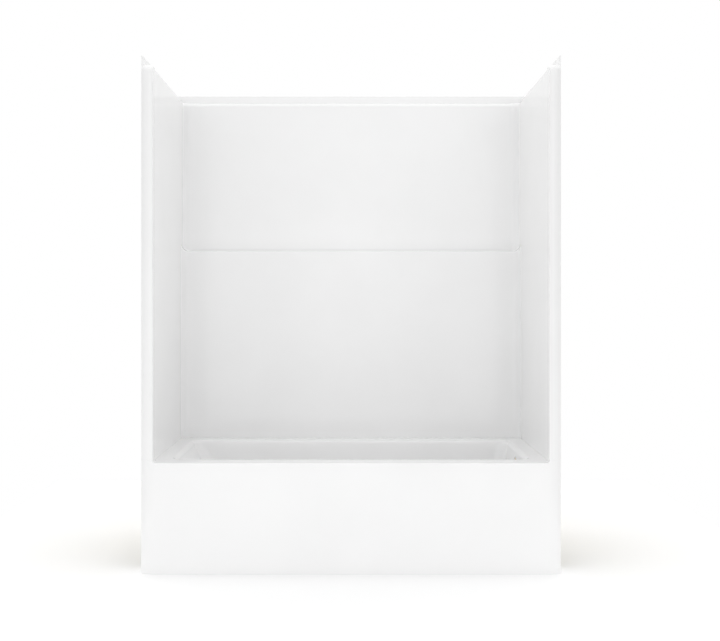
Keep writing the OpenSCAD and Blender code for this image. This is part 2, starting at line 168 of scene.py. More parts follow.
def gelcoat():
    # polyester gelcoat sprayed into a polished mould: even white, a mirror-like face that is never quite
    # flat, with slow waves of 91 mm and an orange peel of 3 mm, both very shallow
    material, tree, where = newMaterial("sprayed white gelcoat", "#f7f7f7", 0.05, IOR=1.5)
    cloud = node(tree, noise, {"Vector": where, "Scale": sized(250), "Detail": 2.0})
    colour = tinted(node(tree, ramp, {"Fac": cloud}), [(0.3, "#f6f6f6"), (0.7, "#f8f8f8")])
    wave = node(tree, noise, {"Vector": where, "Scale": sized(90.91), "Detail": 1.0})
    peel = node(tree, noise, {"Vector": where, "Scale": sized(2.857), "Detail": 1.0})
    slow = node(tree, bump, {"Strength": 0.05, "Distance": 0.001, "Height": wave})
    fine = node(tree, bump, {"Strength": 0.03, "Distance": 0.0002, "Height": peel, "Normal": slow})
    return dress(material, {"Base Color": colour, "Normal": fine})


def laminate():
    # chopped glass strand rolled out in polyester resin: pale green-grey and matt, with the strands,
    # 1.4 mm wide and 17 mm long, lying in four directions and showing in relief
    material, tree, where = newMaterial("rolled glass fibre laminate", "#c9cbbb", 0.55)
    layers = []
    for turn in (0.2, 1.1, 2.0, 2.75):
        laid = node(tree, "ShaderNodeMapping", {"Vector": where, "Rotation": (turn * 1.7, turn * 0.6, turn),
                                                "Scale": (sized(16.67), sized(1.4286), sized(1.4286))})
        layers.append(node(tree, noise, {"Vector": laid, "Scale": 1.0, "Detail": 1.0}))
    strands = layers[0]
    for layer in layers[1:]:
        strands = node(tree, maths, {"operation": "MAXIMUM", 0: strands, 1: layer})
    colour = tinted(node(tree, ramp, {"Fac": strands}), [(0.45, "#b9bda9"), (0.62, "#cfd1c3"),
                                                         (0.8, "#dedfd4")])
    relief = node(tree, bump, {"Strength": 0.6, "Distance": 0.0006, "Height": strands})
    return dress(material, {"Base Color": colour, "Normal": relief})


def woodFigures(tree, where, axis, figures):
    # patterns drawn out along the grain: the size along it and across it in millimetres, the detail and
    # how far the pattern wanders
    for along, across, detail, wander in figures:
        scale = tuple(sized(along if i == axis else across) for i in range(3))
        drawn = node(tree, "ShaderNodeMapping", {"Vector": where, "Scale": scale})
        yield node(tree, noise, {"Vector": drawn, "Scale": 1.0, "Detail": detail, "Distortion": wander})


def sawnTimber(axis):
    # spruce from the saw: pale straw, long streaks of early and late wood 10.5 mm apart, fibres of a
    # millimetre, and faint blade marks every 3 mm across the grain
    material, tree, where = newMaterial("sawn spruce along " + "XYZ"[axis], "#d8ba8b", 0.62)
    ring, fibre, blade = woodFigures(tree, where, axis, [
        (333.3, 10.526, 3.0, 0.6), (71.43, 1.1111, 2.0, 0.0), (3.125, 166.7, 1.0, 0.0)])
    blend = node(tree, maths, {"operation": "MULTIPLY_ADD", 0: fibre, 1: 0.35, 2: ring})
    colour = tinted(node(tree, ramp, {"Fac": blend}),
                    [(0.45, "#b98d57"), (0.6, "#d2ae79"), (0.75, "#e2c99c"), (0.9, "#ead6b0")])
    height = node(tree, maths, {"operation": "ADD", 0: blade, 1: fibre})
    relief = node(tree, bump, {"Strength": 0.35, "Distance": 0.0004, "Height": height})
    return dress(material, {"Base Color": colour, "Normal": relief})


def plywood(grain):
    # birch plywood: wide rotary-cut figure and fine pores on the faces, and on the cut edges light and
    # dark plies in turn, one every 2 mm
    material, tree, where = newMaterial("rotary cut plywood along " + "XYZ"[grain], "#d9c096", 0.55)
    peeled, pores = woodFigures(tree, where, grain, [(454.5, 62.5, 4.0, 1.4), (33.33, 0.9091, 1.0, 0.0)])
    through = node(tree, "ShaderNodeAttribute", {"attribute_name": "throughBoard"}).outputs["Fac"]
    count = node(tree, maths, {"operation": "ADD", 0: through, 1: 1.0})
    ply = node(tree, maths, {"operation": "PINGPONG", 0: count, 1: 2.0})
    face = tinted(node(tree, ramp, {"Fac": peeled}), [(0.35, "#c9a674"), (0.5, "#dcc297"),
                                                      (0.66, "#e6d3ad")])
    edge = tinted(node(tree, ramp, {"Fac": ply}), [(0.3, "#9c7444"), (0.5, "#c7a06b")])
    # everything between the two faces of a 12 mm board is cut edge
    cutEdge = node(tree, maths, {"operation": "COMPARE", 0: through, 1: 6.0, 2: 5.9})
    colour = node(tree, "ShaderNodeMix", {"data_type": "RGBA", "Factor": cutEdge, 6: face, 7: edge})
    relief = node(tree, bump, {"Strength": 0.25, "Distance": 0.0003, "Height": pores})
    return dress(material, {"Base Color": colour.outputs[2], "Normal": relief})


def foam():
    # closed-cell polyethylene foam, skived from a roll: dark grey, dull, with cells of a millimetre cut open
    material, tree, where = newMaterial("skived closed cell foam", "#3b3c3e", 0.85)
    cells = node(tree, "ShaderNodeTexVoronoi", {"Vector": where, "Scale": sized(1.1111)}).outputs["Distance"]
    colour = tinted(node(tree, ramp, {"Fac": cells}), [(0.0, "#313234"), (0.6, "#46474a")])
    relief = node(tree, bump, {"Strength": 0.5, "Distance": 0.0004, "Height": cells})
    return dress(material, {"Base Color": colour, "Normal": relief})


def zinc():
    # bright zinc plate on cold-headed steel: blue-white, satin, with a faint spangle of 4 mm clouds
    material, tree, where = newMaterial("bright zinc plated steel", "#c6cad0", 0.32, Metallic=1.0)
    cloud = node(tree, noise, {"Vector": where, "Scale": sized(3.846), "Detail": 3.0})
    colour = tinted(node(tree, ramp, {"Fac": cloud}), [(0.3, "#b4b9c1"), (0.7, "#d3d6da")])
    dull = node(tree, "ShaderNodeMapRange", {"Value": cloud, "To Min": 0.24, "To Max": 0.42})
    return dress(material, {"Base Color": colour, "Roughness": dull})


gelcoatWhite = gelcoat()
laminateBack = laminate()
spruce = [sawnTimber(axis) for axis in range(3)]
birch = [plywood(axis) for axis in range(3)]
foamGrey = foam()
zincBright = zinc()
print("materials made")


# Skins: open surfaces of welded grids, thickened to the sheet and laid over its back
def newSkin():
    return {"points": [], "faces": []}


def addGrid(skin, rows, ring=False):
    first, width = len(skin["points"]), len(rows[0])
    for row in rows:
        skin["points"].extend(row)
    for k in range(len(rows) - 1):
        for j in range(width if ring else width - 1):
            a, b = first + k * width + j, first + k * width + (j + 1) % width
            skin["faces"].append((a, b, b + width, a + width))


def fillFlat(skin, loops, flatten):
    # triangles between closed loops of points in one plane: the first loop is the outside, the others
    # are holes
    points = [p for loop in loops for p in loop]
    flat = [Vector(flatten(p)) for p in points]
    edges, outlines = [], []
    for loop in loops:
        start, n = len(edges), len(loop)
        edges += [(start + i, start + (i + 1) % n) for i in range(n)]
        outlines.append(flat[start:start + n])
    found, _, faces, origin, _, _ = delaunay_2d_cdt(flat, edges, [], 0, 1e-7)
    first = len(skin["points"])
    skin["points"].extend(points)
    for face in faces:
        middle = sum((found[i] for i in face), Vector((0, 0))) / len(face)
        if inside(middle, outlines[0]) and not any(inside(middle, hole) for hole in outlines[1:]):
            skin["faces"].append(tuple(first + origin[i][0] for i in face))


def inside(point, loop):
    within = False
    for a, b in zip(loop, loop[1:] + loop[:1]):
        if (a.y > point.y) != (b.y > point.y):
            crossing = (b.x - a.x) * (point.y - a.y) / (b.y - a.y) + a.x
            within = within != (point.x < crossing)
    return within


def mirrored(points):
    return [Vector((-p.x, p.y, p.z)) for p in points]


def mirrorSkin(skin):
    return {"points": mirrored(skin["points"]), "faces": [tuple(reversed(face)) for face in skin["faces"]]}


def joinSkins(*skins):
    whole = newSkin()
    for skin in skins:
        first = len(whole["points"])
        whole["points"].extend(skin["points"])
        whole["faces"].extend(tuple(first + i for i in face) for face in skin["faces"])
    return whole


def bakeModifiers(piece):
    depsgraph = bpy.context.evaluated_depsgraph_get()
    done = bpy.data.meshes.new_from_object(piece.evaluated_get(depsgraph), depsgraph=depsgraph)
    piece.modifiers.clear()
    old = piece.data
    piece.data = done
    bpy.data.meshes.remove(old)
    done.name = piece.name


def sheetPiece(name, skin, facing, probe):
    # welds the skin, turns its face towards `facing` where `probe` is, and thickens it behind
    mesh = bpy.data.meshes.new(name)
    work = bmesh.new()
    corners = [work.verts.new(p) for p in skin["points"]]
    for face in skin["faces"]:
        work.faces.new([corners[i] for i in face])
    bmesh.ops.remove_doubles(work, verts=work.verts, dist=0.00005)
    bmesh.ops.dissolve_degenerate(work, edges=work.edges, dist=0.00001)
    loose = [v for v in work.verts if not v.link_faces]
    bmesh.ops.delete(work, geom=loose, context="VERTS")
    bmesh.ops.recalc_face_normals(work, faces=work.faces)
    work.normal_update()
    near = min(work.faces, key=lambda f: (f.calc_center_median() - probe).length)
    if near.normal.dot(Vector(facing)) < 0:
        bmesh.ops.reverse_faces(work, faces=work.faces)
    work.to_mesh(mesh)
    work.free()
    piece = newPiece(name, mesh)
    mesh.materials.append(gelcoatWhite)
    mesh.materials.append(laminateBack)
    sheet = piece.modifiers.new("sheet", "SOLIDIFY")
    sheet.thickness = unit["sheet"] / 1000
    sheet.offset = -1
    sheet.use_even_offset = False
    sheet.use_quality_normals = True
    sheet.thickness_clamp = 0
    sheet.material_offset = 1
    bakeModifiers(piece)
    return piece


def fromAbove(p):
    return p.x, p.y


def frontOn(x, z, d):
    return place(x, d, z)


def sideOn(d, z, x):
    return place(x, d, z)


def addPrism(piece, outline, low, high, upright, slot=1, edge=1):
    # a plate with eased edges from a closed outline: upright is place, frontOn or sideOn, whichever sees
    # the outline straight on, and low and high are its two ends along that line of sight
    work = bmesh.new()
    bottom = [work.verts.new(upright(a, b, low)) for a, b in outline]
    top = [work.verts.new(upright(a, b, high)) for a, b in outline]
    n = len(outline)
    work.faces.new(bottom)
    work.faces.new(top)
    for i in range(n):
        work.faces.new((bottom[i], bottom[(i + 1) % n], top[(i + 1) % n], top[i]))
    bmesh.ops.recalc_face_normals(work, faces=work.faces)
    sharp = [e for e in work.edges if e.calc_face_angle(0) > 0.6]
    bmesh.ops.bevel(work, geom=sharp, offset=edge / 1000, segments=2, profile=0.5, affect="EDGES")
    for face in work.faces:
        face.material_index = slot
    plate = bpy.data.meshes.new("plate")
    work.to_mesh(plate)
    work.free()
    whole = bmesh.new()
    whole.from_mesh(piece.data)
    whole.from_mesh(plate)
    whole.to_mesh(piece.data)
    whole.free()
    bpy.data.meshes.remove(plate)


def smooth(piece, angle=32):
    mesh = piece.data
    mesh.polygons.foreach_set("use_smooth", [True] * len(mesh.polygons))
    mesh.set_sharp_from_angle(angle=math.radians(angle))
    weighted = piece.modifiers.new("even shading", "WEIGHTED_NORMAL")
    weighted.keep_sharp = True
    weighted.weight = 90
    bakeModifiers(piece)


def bow(x):
    # how far the front falls back towards its outer edges
    out = max(0, abs(x) - unit["bowX"]) / (unit["halfW"] - unit["bowX"])
    return unit["bowDeep"] * out ** 3


# The front column: its edges are the same on the tub and on the end walls
column = {"innerR": 2, "outerR": 2.5}


# Tub
tub = {
    "wellX": 653, "wellFront": 109, "wellBack": 649, "rimR": 20, "wellR": 45, "soleR": 55, "soleCornerR": 20,
    "backrestRun": 137, "drainEndRun": 46, "sideRun": 25, "floorZ": 55, "footW": 30,
    "apronR": 6, "throatR": 9, "throatFade": 1.5, "coveFrom": 10, "upstandH": 30,
    "drainX": 520, "drainR": 25.5, "overflowZ": 343, "overflowR": 28, "holeEdge": 1.5,
    "cornerSteps": 16, "longSteps": 36, "shortSteps": 18, "rimSteps": 10, "throatSteps": 10,
    # the well's rings, closest beside the overflow, whose patch takes up the first few
    "wellHeights": (371, 360, 349, 338, 327, 316, 300, 270, 235, 200, 165, 135), "soleFrom": -0.12,
    "patchRings": 7, "patchMargin": 5,
}
tub["wallZ"] = unit["deckZ"] - tub["rimR"]
tub["soleZ"] = tub["floorZ"] + tub["soleR"]
tub["wellMid"] = (tub["wellFront"] + tub["wellBack"]) / 2


def lean(run):
    across, up = run + tub["soleR"], tub["wallZ"] - tub["soleZ"]
    return math.atan2(across, up) - math.asin(tub["soleR"] / math.hypot(across, up))


def sideOut(run, z):
    r, a = tub["soleR"], lean(run)
    if z > tub["soleZ"] - r * math.sin(a):
        return run + r - (tub["wallZ"] - z) * math.tan(a)
    return math.sqrt(max(0, r * r - (tub["soleZ"] - z) ** 2))


def cornerLoop(x0, x1, d0, d1, r, z):
    # counted from the drain end's middle side: corner, long side, corner, short side, and so on
    centres = [(x1 - r, d1 - r), (x0 + r, d1 - r), (x0 + r, d0 + r), (x1 - r, d0 + r)]
    loop = []
    for c, (cx, cd) in enumerate(centres):
        for i in range(tub["cornerSteps"] + 1):
            a = math.pi / 2 * (c + i / tub["cornerSteps"])
            loop.append((cx + r * math.cos(a), cd + r * math.sin(a)))
        nx, nd = centres[(c + 1) % 4]
        a = math.pi / 2 * (c + 1)
        ahead = (nx + r * math.cos(a), nd + r * math.sin(a))
        steps = tub["longSteps"] if c % 2 == 0 else tub["shortSteps"]
        last = loop[-1]
        loop += [(mix(last[0], ahead[0], i / steps), mix(last[1], ahead[1], i / steps))
                 for i in range(1, steps)]
    return [place(x, d, z) for x, d in loop]


def wellRing(z):
    up = max(0, (z - tub["soleZ"]) / (tub["wallZ"] - tub["soleZ"]))
    low = sideOut(0, min(z, tub["soleZ"]))
    r = up * tub["wellR"] + (1 - up) * (tub["soleCornerR"] + low)
    left = -tub["wellX"] + tub["backrestRun"] + tub["soleR"]
    right = tub["wellX"] - tub["drainEndRun"] - tub["soleR"]
    front = tub["wellFront"] + tub["sideRun"] + tub["soleR"]
    back = tub["wellBack"] - tub["sideRun"] - tub["soleR"]
    return cornerLoop(left - sideOut(tub["backrestRun"], z), right + sideOut(tub["drainEndRun"], z),
                      front - sideOut(tub["sideRun"], z), back + sideOut(tub["sideRun"], z), r, z)


def rimRing(a):
    n = tub["rimR"] * (1 - math.cos(a))
    z = tub["wallZ"] + tub["rimR"] * math.sin(a)
    return cornerLoop(-tub["wellX"] - n, tub["wellX"] + n, tub["wellFront"] - n, tub["wellBack"] + n,
                      tub["wellR"] + n, z)


def circle(centre, across, up, r, count=64):
    return [centre + (across * math.cos(t) + up * math.sin(t)) * (r / 1000)
            for t in (2 * math.pi * i / count for i in range(count))]


def basinSkin():
    skin = newSkin()
    rings = [rimRing(a) for a in span(math.pi / 2, 0, tub["rimSteps"])]
    rings += [wellRing(z) for z in tub["wellHeights"]]
    turns = span(tub["soleFrom"], math.pi / 2, 16)
    rings += [wellRing(tub["soleZ"] - tub["soleR"] * math.sin(a)) for a in turns]
    addGrid(skin, rings, ring=True)
    # the overflow's patch of the drain end is cut out of the grid and filled round the hole
    width = len(rings[0])
    side = width - tub["shortSteps"]  # the first point of the drain end's straight side
    j0, j1 = side + tub["patchMargin"], side + tub["shortSteps"] - tub["patchMargin"]
    k0, k1 = tub["rimSteps"], tub["rimSteps"] + tub["patchRings"]
    skin["faces"] = [f for f in skin["faces"] if not (k0 <= f[0] // width < k1 and j0 <= f[0] % width < j1)]
    loop = [rings[k0][j] for j in range(j0, j1)] + [rings[k][j1] for k in range(k0, k1)]
    loop += [rings[k1][j] for j in range(j1, j0, -1)] + [rings[k][j0] for k in range(k1, k0, -1)]
    tilt = lean(tub["drainEndRun"])
    x = tub["wellX"] - (tub["wallZ"] - tub["overflowZ"]) * math.tan(tilt)
    up = Vector((math.sin(tilt), 0, math.cos(tilt)))
    hole = circle(place(x, tub["wellMid"], tub["overflowZ"]), Vector((0, 1, 0)), up, tub["overflowR"])
    fillFlat(skin, [loop, hole], lambda p: (p.y, p.dot(up)))
    drain = circle(place(tub["drainX"], tub["wellMid"], tub["floorZ"]), Vector((1, 0, 0)), Vector((0, 1, 0)),
                   tub["drainR"])
    fillFlat(skin, [rings[-1], drain], fromAbove)
    return skin, rings[0], hole, drain


def throatPath():
    # the opening's outline from the middle of the apron to the top of the column's foot, as x, z, the
    # way outwards in x and z, and the radius of the edge
    path = [(x, unit["deckZ"], 0, -1, tub["apronR"]) for x in span(0, unit["columnX"] - tub["throatR"], 36)]
    for a in quarter(tub["throatSteps"])[1:]:
        path.append((unit["columnX"] - tub["throatR"] * (1 - math.sin(a)),
                     unit["deckZ"] + tub["throatR"] * (1 - math.cos(a)), math.sin(a), -math.cos(a),
                     mix(tub["apronR"], column["innerR"], math.sin(a))))
    path.append((unit["columnX"], unit["stubZ"], 1, 0, column["innerR"]))
    return path


def frontSkin():
    # the right half of the apron, the column's foot and the edges between them and the deck
    skin, path = newSkin(), throatPath()
    arc = len(path) - tub["throatSteps"] - 2
    rows = []
    for a in quarter(6):
        out, back = 1 - math.sin(a), 1 - math.cos(a)
        rows.append([place(x + nx * r * out, bow(x + nx * r) * out + r * back, z + nz * r * out)
                     for x, z, nx, nz, r in path])
    addGrid(skin, rows)
    face = []
    for share in span(0, 1, 24):
        face.append([place(x + nx * r, bow(x + nx * r), mix(z + nz * r, 0, share))
                     for x, z, nx, nz, r in path[:-1]])
    addGrid(skin, face)
    foot = [[p + Vector((0, d / 1000, 0)) for p in face[-1][:-1]] for d in span(0, tub["footW"], 3)]
    addGrid(skin, foot)
    x0 = unit["columnX"] + column["innerR"]
    x1, r = unit["halfW"] - column["outerR"], column["outerR"]
    plan = [(x, bow(x)) for x in span(x0, x1, 12)]
    plan += [(x1 + r * math.sin(a), bow(x1) + r * (1 - math.cos(a))) for a in quarter(5)[1:]]
    plan += [(unit["halfW"], d) for d in span(plan[-1][1], unit["returnD"], 6)[1:]]
    heights = [unit["stubZ"]] + [p.z * 1000 for p in (row[-1] for row in face)]
    addGrid(skin, [[place(x, d, z) for x, d in plan] for z in heights])
    # the foot's room side with its cove to the deck, which dies away where the column runs out into the wall
    rows = [[place(x, r, z) for x, z, nx, nz, r in path[arc:]]]
    beadEnd = unit["beadD"] + unit["beadRun"]
    for d in span(tub["coveFrom"], unit["beadD"], 5) + span(unit["beadD"], beadEnd, 5)[1:]:
        fade = max(0, (d - unit["beadD"]) / unit["beadRun"])
        r = mix(tub["throatR"], tub["throatFade"], fade)
        sideX = unit["columnX"] + (unit["roomX"] - unit["columnX"]) * easeInOut(fade)
        row = []
        for x, z, nx, nz, _ in path[arc:-1]:
            row.append(place(sideX - r + r * nx, d, unit["deckZ"] + r + r * nz))
        row.append(place(sideX, d, unit["stubZ"]))
        rows.append(row)
    addGrid(skin, rows)
    edge = [place(x, tub["apronR"], unit["deckZ"]) for x, *_ in path[:arc + 1]] + [row[0] for row in rows[1:]]
    return skin, edge


def tubSkin():
    basin, rim, hole, drain = basinSkin()
    half, edge = frontSkin()
    x, d, z = unit["upstandX"], unit["upstandD"], unit["deckZ"]
    foot = [place(x, along, z) for along in span(unit["returnD"], d, 20)]
    foot += [place(along, d, z) for along in span(x, 0, 24)[1:]]
    right = edge + [place(x, unit["beadD"] + unit["beadRun"], z)] + foot
    deck = newSkin()
    fillFlat(deck, [right + mirrored(right[1:-1])[::-1], rim], fromAbove)
    upstand = newSkin()
    foot += mirrored(foot[:-1])[::-1]
    rise = Vector((0, 0, tub["upstandH"] / 1000))
    addGrid(upstand, [foot, [p + rise for p in foot]])
    return joinSkins(basin, half, mirrorSkin(half), deck, upstand), hole, drain


def easeHole(piece, rims, radius):
    # rounds the sharp edge where a hole breaks the sheet's face
    work = bmesh.new()
    work.from_mesh(piece.data)
    picked = []
    for points in rims:
        keys = {tuple(round(c, 5) for c in p) for p in points}
        for edge in work.edges:
            if all(tuple(round(c, 5) for c in v.co) in keys for v in edge.verts):
                picked.append(edge)
    bmesh.ops.bevel(work, geom=picked, offset=radius / 1000, segments=4, profile=0.5, affect="EDGES")
    work.to_mesh(piece.data)
    work.free()


skin, overflowRim, drainRim = tubSkin()
tubShell = sheetPiece("tubShell", skin, (0, -1, 0), place(0, 0, unit["deckZ"] / 2))
easeHole(tubShell, [overflowRim, drainRim], tub["holeEdge"])
smooth(tubShell)
print("tub made")


# The upright seams: a plate on each side, over a strip of foam
seam = {"inset": 2, "halfGap": 1.5, "underLip": 2.5}
seam["frontD"], seam["backD"] = unit["seamD"] - seam["halfGap"], unit["seamD"] + seam["halfGap"]
seam["inX"] = unit["roomX"] + seam["inset"]


# End walls
endWall = {
    "lipR": 9, "levels": 26, "lipSteps": 14, "toeZ": 402.05, "footZ": 412.05, "endD": 686.97, "fineD": 200,
    "crownPower": 3, "crownGap": 0.3, "beadFollows": 0.3, "flangeEdge": 1.2,
}
crownZ, lipZ = unit["ledgeZ"] - unit["crownR"], unit["ledgeZ"] - endWall["lipR"]


def seamPlate(side):
    # the plate seen along the wall: its top follows the lip
    x, r = unit["roomX"] + endWall["lipR"], endWall["lipR"] - seam["underLip"]
    outline = [(seam["inX"], unit["panZ"]), (unit["halfW"], unit["panZ"]), (unit["halfW"], lipZ + r)]
    outline += [(x - r * math.sin(a), lipZ + r * math.cos(a)) for a in quarter(8)]
    return [(side * x, z) for x, z in outline]


def crownBack(z):
    # how far the column's front has gone back at this height
    share, power = min(1, max(0, z - crownZ) / unit["crownR"]), endWall["crownPower"]
    return unit["crownR"] * (1 - (1 - share ** power) ** (1 / power))


def lipLevels():
    # height, how far the room side has turned back, and how far the column's front has
    levels = [(z, 0) for z in span(endWall["footZ"], crownZ, endWall["levels"])]
    levels += [(z, 0) for z in span(crownZ, lipZ, endWall["lipSteps"])[1:]]
    levels += [(lipZ + endWall["lipR"] * math.sin(a), endWall["lipR"] * (1 - math.cos(a)))
               for a in quarter(endWall["lipSteps"])[1:]]
    return [(z, side, crownBack(z)) for z, side in levels]


def wallPlan(side, front):
    # the plan of the column and the wall where the lip has turned back by `side` and the crown by `front`
    x1, r, power = unit["halfW"] - column["outerR"], column["outerR"], endWall["crownPower"]
    inner = unit["columnX"] + side

    def face(x):
        return (bow(x) ** power + front ** power) ** (1 / power)

    # the bead goes back less than the crown does, and evenly, or the lip would fold over itself
    share = (1 - (1 - front / unit["crownR"]) ** power) ** (1 / power)
    bead = unit["beadD"] + endWall["beadFollows"] * unit["crownR"] * (1 - math.sqrt(1 - share ** 2))
    # beside the crown the flange's plate is the outer face
    outer = endWall["crownGap"] if front > 0 else 0
    plan = [(unit["halfW"] - outer, d) for d in span(unit["returnD"], face(x1) + r, 6)]
    plan += [(x1 + (r - outer) * math.sin(a), face(x1) + r * (1 - math.cos(a)))
             for a in span(math.pi / 2, 0, 5)[1:]]
    plan += [(x, face(x)) for x in span(x1, inner + column["innerR"], 12)[1:]]
    r = column["innerR"]
    start = face(inner + r)
    plan += [(inner + r * (1 - math.sin(a)), start + r * (1 - math.cos(a)))
             for a in quarter(6)[1:]]
    plan += [(inner, max(mix(front, bead, d / unit["beadD"]), start + r))
             for d in span(r, unit["beadD"], 4)[1:]]
    plan += [(inner + (unit["roomX"] - unit["columnX"]) * easeInOut(share), bead + unit["beadRun"] * share)
             for share in span(0, 1, 8)[1:]]
    return plan


def endWallSkin():
    skin = newSkin()
    levels = lipLevels()
    columnRows = [[place(x, d, z) for x, d in wallPlan(side, front)] for z, side, front in levels]
    addGrid(skin, columnRows)
    wallRows = []
    for z, side, front in [(endWall["toeZ"], 0, 0)] + levels:
        start = wallPlan(side, front)[-1]
        depths = span(start[1], endWall["fineD"], 6) + span(endWall["fineD"], endWall["endD"], 22)[1:]
        wallRows.append([place(start[0], d, z) for d in depths])
    addGrid(skin, wallRows)
    # the flat ledge between the lip and the flange
    x, y = place(unit["upstandX"], unit["returnD"] - 1, 0).xy
    first = next(i for i, p in enumerate(columnRows[-1]) if p.x < x and p.y < y)
    lip = columnRows[-1][first:] + wallRows[-1][1:]
    flange = [Vector((x, p.y, p.z)) for p in (lip[-1], lip[0])]
    fillFlat(skin, [lip + flange], fromAbove)
    return skin


def endWallPiece(name, skin, side):
    piece = sheetPiece(name, skin, (-side, 0, 0), place(side * unit["roomX"], unit["depth"] / 2, crownZ / 2))
    front, end, ledge = bow(unit["halfW"]), endWall["endD"], unit["ledgeZ"] - unit["sheet"]
    flange = [(front, crownZ), (front, unit["height"]), (end, unit["height"]), (end, ledge),
              (unit["returnD"], ledge), (unit["returnD"], crownZ)]
    addPrism(piece, flange, side * unit["upstandX"], side * unit["halfW"], sideOn, slot=0,
             edge=endWall["flangeEdge"])
    addPrism(piece, seamPlate(side), seam["frontD"] - unit["sheet"], seam["frontD"], frontOn)
    start, stop = unit["beadD"] + unit["beadRun"], seam["frontD"]
    foot = [(seam["inX"], start), (unit["panX"], start), (unit["panX"], stop), (seam["inX"], stop)]
    addPrism(piece, [(side * x, d) for x, d in foot], unit["panZ"], unit["panZ"] + unit["sheet"], place)
    smooth(piece)
    return piece


rightSkin = endWallSkin()
rightWallShell = endWallPiece("rightWallShell", rightSkin, 1)
leftWallShell = endWallPiece("leftWallShell", mirrorSkin(rightSkin), -1)
print("end walls made")


# Back wall
backWall = {
    "coveR": 38, "lowerCoveDeep": 28, "pocketR": 28, "edgeR": 6, "innerR": 12, "lipR": 22, "seamLipR": 9,
    "flangeR": 8, "toeZ": 402.05, "footZ": 412.3, "startD": 687.03, "lead": 4, "ringR": 24, "ringFrom": 690,
    "coveSteps": 10, "panelSteps": 28, "seamSteps": 4,
}


def backPlan(depth, half, wide, deep, start):
    # the plan line from the middle of the panel round the cove to the seam, as x and d
    line = [(x, depth) for x in span(0, half - wide, backWall["panelSteps"])]
    line += [(half - wide + wide * math.sin(a), depth - deep + deep * math.cos(a))
             for a in quarter(backWall["coveSteps"])[1:]]
    line += [(half, d) for d in span(depth - deep, start, backWall["seamSteps"])[1:]]
    return line


def backRing(margin, inwards):
    # the closed plan of the back wall's foot, or of the seal under it: `margin` inside the foot's outside,
    # and `inwards` from its inside
    outX, outD, start = unit["panX"] - margin, unit["panD"] - margin, seam["backD"] + margin
    inX, inD, r = seam["inX"] + inwards, unit["lowerD"] + seam["inset"] + inwards, backWall["ringR"] + inwards
    inner = [(x, d) for x, d in backPlan(inD, inX, r, r, backWall["ringFrom"]) if d > start + 1]
    return [(outX, start), (outX, outD), (-outX, outD), (-outX, start), (-inX, start),
            *[(-x, d) for x, d in reversed(inner[1:])], *inner, (inX, start)]


def pocketZ(x):
    # the shelf's height, which rises round the pocket's corner
    out = min(backWall["pocketR"], max(0, x - (unit["roomX"] - backWall["pocketR"])))
    return unit["shelfZ"] + backWall["pocketR"] - math.sqrt(backWall["pocketR"] ** 2 - out ** 2)


def backSkin():
    r, start, lead = backWall["coveR"], backWall["startD"], backWall["lead"]
    lower = backPlan(unit["lowerD"], unit["roomX"], r, backWall["lowerCoveDeep"], start)
    upper = backPlan(unit["upperD"], unit["roomX"], r, r, start)
    columns = []
    for (lx, ld), (ux, ud) in zip(lower, upper):
        # the edges take up less of the shelf where it runs out into the seam
        wide = max(math.hypot(ux - lx, ud - ld), 0.001)
        edgeShare = min(backWall["edgeR"] / wide, 0.3)
        innerShare = min(backWall["innerR"] / wide, 0.5)

        def onShelf(share, lift):
            x = mix(lx, ux, share)
            return place(x, mix(ld, ud, share), pocketZ(x) + lift)
        low, high = pocketZ(lx) - backWall["edgeR"], pocketZ(ux) + backWall["innerR"]
        heights = [backWall["toeZ"]] + span(backWall["footZ"], low - 2 * lead, 22) + [low - lead]
        line = [place(lx, ld, z) for z in heights]
        line += [onShelf(edgeShare * (1 - math.cos(a)), -backWall["edgeR"] * (1 - math.sin(a)))
                 for a in quarter(6)]
        line += [onShelf(share, 0) for share in span(edgeShare, 1 - innerShare, 4)[1:-1]]
        line += [onShelf(1 - innerShare * (1 - math.sin(a)), backWall["innerR"] * (1 - math.cos(a)))
                 for a in quarter(8)]
        heights = [high + lead] + span(high + 3 * lead, unit["ledgeZ"] - backWall["lipR"], 16)
        columns.append(line + [place(ux, ud, z) for z in heights])

    def onLedge(i, n, turn, z):
        return place(*backPlan(unit["upperD"] + n, unit["roomX"] + n, turn, turn, start)[i], z)

    # the lip, the ledge and the flange's foot, whose plan grows outwards: the lip tightens along the seam
    corner, ledgeRun = len(columns) - 1 - backWall["seamSteps"], unit["upstandX"] - unit["roomX"]
    for i, line in enumerate(columns):
        lip = mix(backWall["lipR"], backWall["seamLipR"], easeInOut((i - corner) / backWall["seamSteps"]))
        for a in quarter(14)[1:]:
            n = lip * (1 - math.cos(a))
            line.append(onLedge(i, n, r + n, unit["ledgeZ"] - lip * (1 - math.sin(a))))
        for share in (0.3, 0.6, 1):
            turn = mix(r + lip, backWall["flangeR"], share)
            line.append(onLedge(i, mix(lip, ledgeRun, share), turn, unit["ledgeZ"]))
    skin = newSkin()
    addGrid(skin, columns)
    return skin


def backWallPiece():
    right = backSkin()
    probe = place(0, unit["lowerD"], unit["shelfZ"] / 2)
    piece = sheetPiece("backWallShell", joinSkins(right, mirrorSkin(right)), (0, -1, 0), probe)
    x, d, start = unit["halfW"], unit["depth"], backWall["startD"]
    inX, inD = unit["upstandX"], unit["upstandD"]
    flange = [(-x, start), (-x, d), (x, d), (x, start), (inX, start), (inX, inD), (-inX, inD), (-inX, start)]
    addPrism(piece, flange, unit["ledgeZ"] - unit["sheet"], unit["height"], place, slot=0,
             edge=endWall["flangeEdge"])
    for side in (-1, 1):
        addPrism(piece, seamPlate(side), seam["backD"], seam["backD"] + unit["sheet"], frontOn)
    addPrism(piece, backRing(0, 0), unit["panZ"], unit["panZ"] + unit["sheet"], place)
    smooth(piece)
    return piece


backWallShell = backWallPiece()
print("back wall made")


def declare(piece, slot, *replaced):
    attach(piece, "root")
    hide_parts(*replaced)


